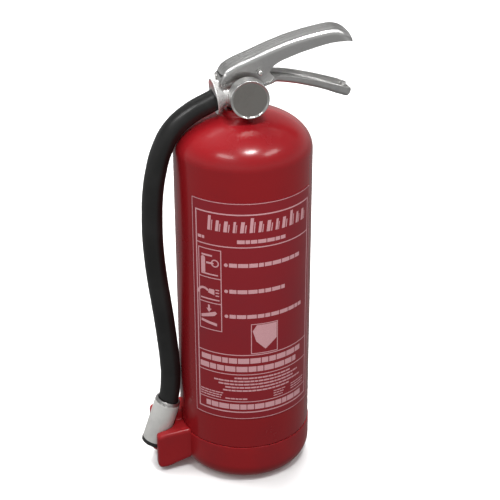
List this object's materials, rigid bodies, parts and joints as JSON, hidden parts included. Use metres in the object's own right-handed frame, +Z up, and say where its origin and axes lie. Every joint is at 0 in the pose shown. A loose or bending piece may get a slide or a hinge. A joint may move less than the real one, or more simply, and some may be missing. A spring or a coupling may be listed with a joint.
{
  "type": "fire extinguisher",
  "caption": "Portable fire extinguisher: red cylinder, squeeze-lever valve with safety pin and carrying handle, and a black hose to a nozzle clipped on the plastic foot.",
  "frame": {"origin": "centre of the flat underside of the foot, on the cylinder's axis", "axes": "+Z up along the cylinder, +X towards the tips of the levers, -Y towards the label and the valve's front cap"},
  "size_m": [0.2405, 0.1514, 0.5173],
  "materials": {
    "red_paint": "gloss powder coat",
    "red_plastic": "moulded, semi-gloss",
    "label_film": "printed film, semi-matt",
    "satin_metal": "satin nickel",
    "bright_steel": "polished",
    "brass": "turned",
    "spring_steel": "drawn wire",
    "black_rubber": "smooth, satin",
    "white_plastic": "extruded"
  },
  "bodies": {
    "cylinder": {"cylinder_shell": "red_paint", "neck_ring": "red_paint", "neck_seal": "black_rubber", "foot_boot": "red_plastic", "label": "label_film", "valve_body": "satin_metal", "front_cap": "satin_metal", "cap_seal": "black_rubber", "stem_nut": "brass", "stem_seal": "black_rubber", "valve_spring": "spring_steel", "siphon_adapter": "brass", "siphon_tube": "white_plastic", "carry_handle": "satin_metal", "handle_screw": "bright_steel", "hinge_pin": "bright_steel", "hose_nipple": "brass", "hose_collar": "satin_metal", "hose": "black_rubber", "nozzle_ferrule": "satin_metal", "nozzle_body": "satin_metal", "nozzle_tip": "black_rubber"},
    "lever": {"squeeze_lever": "satin_metal"},
    "stem": {"valve_stem": "bright_steel", "poppet_seal": "black_rubber"},
    "pin": {"safety_pin": "bright_steel"},
    "ring": {"pull_ring": "bright_steel"}
  },
  "joints": [
    {"name": "lever_squeeze", "type": "hinge", "parent": "cylinder", "child": "lever", "pos_m": [-0.022, 0, 0.466], "axis": [0, 1, 0], "range_deg": [0, 11], "stiffness_Nm_per_rad": 1.5, "springref_deg": -14.32},
    {"name": "stem_press", "type": "slide", "parent": "cylinder", "child": "stem", "axis": [0, 0, -1], "range_m": [0, 0.0046], "deforming": ["valve_spring"]},
    {"name": "pin_pull", "type": "slide", "parent": "lever", "child": "pin", "axis": [0, 1, 0], "range_m": [0, 0.038]},
    {"name": "ring_swing", "type": "hinge", "parent": "pin", "child": "ring", "pos_m": [0.0148, 0.0223, 0.4761], "axis": [1, 0, 0], "range_deg": [-5, 150]}
  ],
  "couplings": [
    {"joint": "stem_press", "follows": "lever_squeeze", "m_per_rad": 0.023875}
  ]
}
